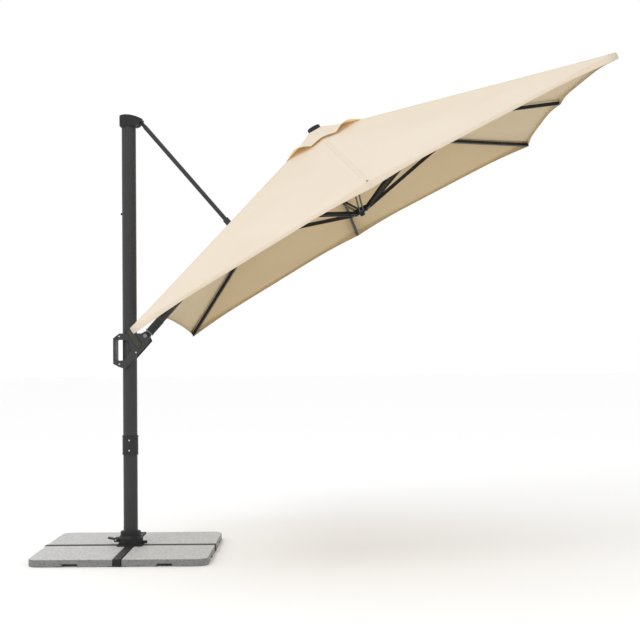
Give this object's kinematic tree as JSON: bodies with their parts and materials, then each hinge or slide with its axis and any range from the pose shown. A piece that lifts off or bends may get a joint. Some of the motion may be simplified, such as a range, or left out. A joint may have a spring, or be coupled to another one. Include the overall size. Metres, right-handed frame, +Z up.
{
  "type": "cantilever parasol",
  "caption": "Cantilever parasol: square fabric canopy on a tilting arm, sliding carriage on a swivel mast, cross base with weight slabs.",
  "frame": {"origin": "mast axis where it meets the floor", "axes": "+Z up, +X from the mast towards the canopy, +Y to the far side"},
  "size_m": [3.0956, 2.7034, 2.6643],
  "materials": {
    "base_steel": "satin powder coat",
    "black_plastic": "fine grain",
    "dark_plastic": "fine grain",
    "bearing_plastic": "moulded",
    "granite": "speckled grey granite, honed",
    "bright_steel": "zinc plated",
    "anthracite_aluminium": "anthracite powder coat",
    "pale_ring": "moulded",
    "lever_plastic": "fine grain",
    "rib_steel": "powder coat",
    "canopy_cloth": "woven polyester"
  },
  "bodies": {
    "base": {"long_cross_bar": "base_steel", "short_cross_bars": "base_steel", "bar_end_caps": "black_plastic", "slabs": "granite", "centre_plate": "base_steel", "hub_bolts": "bright_steel", "swivel_housing": "black_plastic", "swivel_bearings": "bearing_plastic", "pedal_pin": "bright_steel"},
    "foot_pedal": {"foot_pedal": "black_plastic"},
    "mast": {"mast_foot_collar": "black_plastic", "mast_lower_tube": "anthracite_aluminium", "mast_upper_tube": "anthracite_aluminium", "mast_joint_sleeve": "anthracite_aluminium", "mast_joint_screws": "bright_steel", "carriage_stop": "black_plastic", "mast_cap": "black_plastic", "strut_top_pin": "bright_steel"},
    "carriage": {"carriage_cheeks": "dark_plastic", "handle_grip": "dark_plastic", "guide_bushes": "bearing_plastic", "carriage_screws": "bright_steel", "arm_pivot_bolt": "bright_steel"},
    "release_lever": {"release_lever": "lever_plastic"},
    "knuckle": {"arm_knuckle": "anthracite_aluminium", "twist_ring": "pale_ring"},
    "arm": {"arm_tube": "anthracite_aluminium", "arm_sleeve": "anthracite_aluminium", "crown_bracket": "anthracite_aluminium", "crown_hub": "black_plastic", "rib_pins": "bright_steel", "finial": "black_plastic", "vent_canopy": "canopy_cloth"},
    "strut": {"strut_tube": "anthracite_aluminium", "strut_top_eye": "anthracite_aluminium", "strut_fork": "anthracite_aluminium"},
    "runner": {"runner_hub": "black_plastic", "runner_pins": "bright_steel", "runner_knob": "black_plastic"},
    "rib_outer": {"rib_outer": "rib_steel", "cloth_outer": "canopy_cloth"},
    "stretcher_outer": {"stretcher_outer": "rib_steel"},
    "rib_outer_far": {"rib_outer_far": "rib_steel", "cloth_outer_far": "canopy_cloth"},
    "stretcher_outer_far": {"stretcher_outer_far": "rib_steel"},
    "rib_far": {"rib_far": "rib_steel", "cloth_far": "canopy_cloth"},
    "stretcher_far": {"stretcher_far": "rib_steel"},
    "rib_mast_far": {"rib_mast_far": "rib_steel", "cloth_mast_far": "canopy_cloth"},
    "stretcher_mast_far": {"stretcher_mast_far": "rib_steel"},
    "rib_mast_near": {"rib_mast_near": "rib_steel", "cloth_mast_near": "canopy_cloth"},
    "stretcher_mast_near": {"stretcher_mast_near": "rib_steel"},
    "rib_near": {"rib_near": "rib_steel", "cloth_near": "canopy_cloth"},
    "stretcher_near": {"stretcher_near": "rib_steel"},
    "rib_outer_near": {"rib_outer_near": "rib_steel", "cloth_outer_near": "canopy_cloth"},
    "stretcher_outer_near": {"stretcher_outer_near": "rib_steel"}
  },
  "joints": [
    {"name": "mast_swivel", "type": "hinge", "parent": "base", "child": "mast", "pos_m": [0, 0, 0.1], "axis": [0, 0, 1], "continuous": true},
    {"name": "pedal_press", "type": "hinge", "parent": "base", "child": "foot_pedal", "pos_m": [-0.086, 0, 0.075], "axis": [0, -1, 0], "range_deg": [0, 16], "stiffness_Nm_per_rad": 0.6, "springref_deg": -5.73},
    {"name": "carriage_slide", "type": "slide", "parent": "mast", "child": "carriage", "axis": [0, 0, 1], "range_m": [0, 0.7]},
    {"name": "arm_pivot", "type": "hinge", "parent": "carriage", "child": "knuckle", "pos_m": [0.098, 0, 1.277], "axis": [0, 1, 0], "range_deg": [0, 31.81]},
    {"name": "lever_pull", "type": "hinge", "parent": "carriage", "child": "release_lever", "pos_m": [0.058, -0.05358, 1.222], "axis": [0, -1, 0], "range_deg": [0, 12], "stiffness_Nm_per_rad": 1.5, "springref_deg": -5.73},
    {"name": "canopy_twist", "type": "hinge", "parent": "knuckle", "child": "arm", "pos_m": [0.098, 0, 1.277], "axis": [0.6703, 0, 0.742], "range_deg": [-20, 20]},
    {"name": "strut_pivot", "type": "hinge", "parent": "mast", "child": "strut", "pos_m": [0.068, 0, 2.554], "axis": [0, -1, 0], "range_deg": [0, 26.06]},
    {"name": "rib_fold_outer", "type": "hinge", "parent": "arm", "child": "rib_outer", "pos_m": [1.17113, 0, 2.47579], "axis": [0, 1, 0], "range_deg": [0, 65.43]},
    {"name": "stretcher_fold_outer", "type": "hinge", "parent": "runner", "child": "stretcher_outer", "pos_m": [1.43381, 0, 2.04177], "axis": [0, -1, 0], "range_deg": [0, 77.61]},
    {"name": "rib_fold_outer_far", "type": "hinge", "parent": "arm", "child": "rib_outer_far", "pos_m": [1.15885, 0.03394, 2.46895], "axis": [-0.6175, 0.7071, -0.3444], "range_deg": [0, 70.52]},
    {"name": "stretcher_fold_outer_far", "type": "hinge", "parent": "runner", "child": "stretcher_outer_far", "pos_m": [1.41693, 0.04667, 2.03236], "axis": [0.6175, -0.7071, 0.3444], "range_deg": [0, 72.33]},
    {"name": "rib_fold_far", "type": "hinge", "parent": "arm", "child": "rib_far", "pos_m": [1.12921, 0.048, 2.45241], "axis": [-0.8733, 0, -0.4871], "range_deg": [0, 65.43]},
    {"name": "stretcher_fold_far", "type": "hinge", "parent": "runner", "child": "stretcher_far", "pos_m": [1.37617, 0.066, 2.00963], "axis": [0.8733, 0, 0.4871], "range_deg": [0, 77.61]},
    {"name": "rib_fold_mast_far", "type": "hinge", "parent": "arm", "child": "rib_mast_far", "pos_m": [1.09957, 0.03394, 2.43588], "axis": [-0.6175, -0.7071, -0.3444], "range_deg": [0, 70.52]},
    {"name": "stretcher_fold_mast_far", "type": "hinge", "parent": "runner", "child": "stretcher_mast_far", "pos_m": [1.33541, 0.04667, 1.98689], "axis": [0.6175, 0.7071, 0.3444], "range_deg": [0, 72.33]},
    {"name": "rib_fold_mast_near", "type": "hinge", "parent": "arm", "child": "rib_mast_near", "pos_m": [1.09957, -0.03394, 2.43588], "axis": [0.6175, -0.7071, 0.3444], "range_deg": [0, 70.52]},
    {"name": "stretcher_fold_mast_near", "type": "hinge", "parent": "runner", "child": "stretcher_mast_near", "pos_m": [1.33541, -0.04667, 1.98689], "axis": [-0.6175, 0.7071, -0.3444], "range_deg": [0, 72.33]},
    {"name": "rib_fold_near", "type": "hinge", "parent": "arm", "child": "rib_near", "pos_m": [1.12921, -0.048, 2.45241], "axis": [0.8733, 0, 0.4871], "range_deg": [0, 65.43]},
    {"name": "stretcher_fold_near", "type": "hinge", "parent": "runner", "child": "stretcher_near", "pos_m": [1.37617, -0.066, 2.00963], "axis": [-0.8733, 0, -0.4871], "range_deg": [0, 77.61]},
    {"name": "rib_fold_outer_near", "type": "hinge", "parent": "arm", "child": "rib_outer_near", "pos_m": [1.15885, -0.03394, 2.46895], "axis": [0.6175, 0.7071, 0.3444], "range_deg": [0, 70.52]},
    {"name": "stretcher_fold_outer_near", "type": "hinge", "parent": "runner", "child": "stretcher_outer_near", "pos_m": [1.41693, -0.04667, 2.03236], "axis": [-0.6175, -0.7071, -0.3444], "range_deg": [0, 72.33]},
    {"name": "runner_slide", "type": "slide", "parent": "arm", "child": "runner", "axis": [0.4871, 0, -0.8733], "range_m": [0, 1.23], "deforming": ["cloth_outer", "cloth_outer_far", "cloth_far", "cloth_mast_far", "cloth_mast_near", "cloth_near", "cloth_outer_near"]}
  ],
  "couplings": [
    {"joint": "arm_pivot", "follows": "carriage_slide", "rad_per_m": 0.79277},
    {"joint": "strut_pivot", "follows": "carriage_slide", "rad_per_m": 0.6495},
    {"joint": "rib_fold_outer", "follows": "runner_slide", "rad_per_m": 0.92822},
    {"joint": "stretcher_fold_outer", "follows": "runner_slide", "rad_per_m": 1.1011},
    {"joint": "rib_fold_outer_far", "follows": "runner_slide", "rad_per_m": 1.0006},
    {"joint": "stretcher_fold_outer_far", "follows": "runner_slide", "rad_per_m": 1.0262},
    {"joint": "rib_fold_far", "follows": "runner_slide", "rad_per_m": 0.92822},
    {"joint": "stretcher_fold_far", "follows": "runner_slide", "rad_per_m": 1.1011},
    {"joint": "rib_fold_mast_far", "follows": "runner_slide", "rad_per_m": 1.0006},
    {"joint": "stretcher_fold_mast_far", "follows": "runner_slide", "rad_per_m": 1.0262},
    {"joint": "rib_fold_mast_near", "follows": "runner_slide", "rad_per_m": 1.0006},
    {"joint": "stretcher_fold_mast_near", "follows": "runner_slide", "rad_per_m": 1.0262},
    {"joint": "rib_fold_near", "follows": "runner_slide", "rad_per_m": 0.92822},
    {"joint": "stretcher_fold_near", "follows": "runner_slide", "rad_per_m": 1.1011},
    {"joint": "rib_fold_outer_near", "follows": "runner_slide", "rad_per_m": 1.0006},
    {"joint": "stretcher_fold_outer_near", "follows": "runner_slide", "rad_per_m": 1.0262}
  ]
}
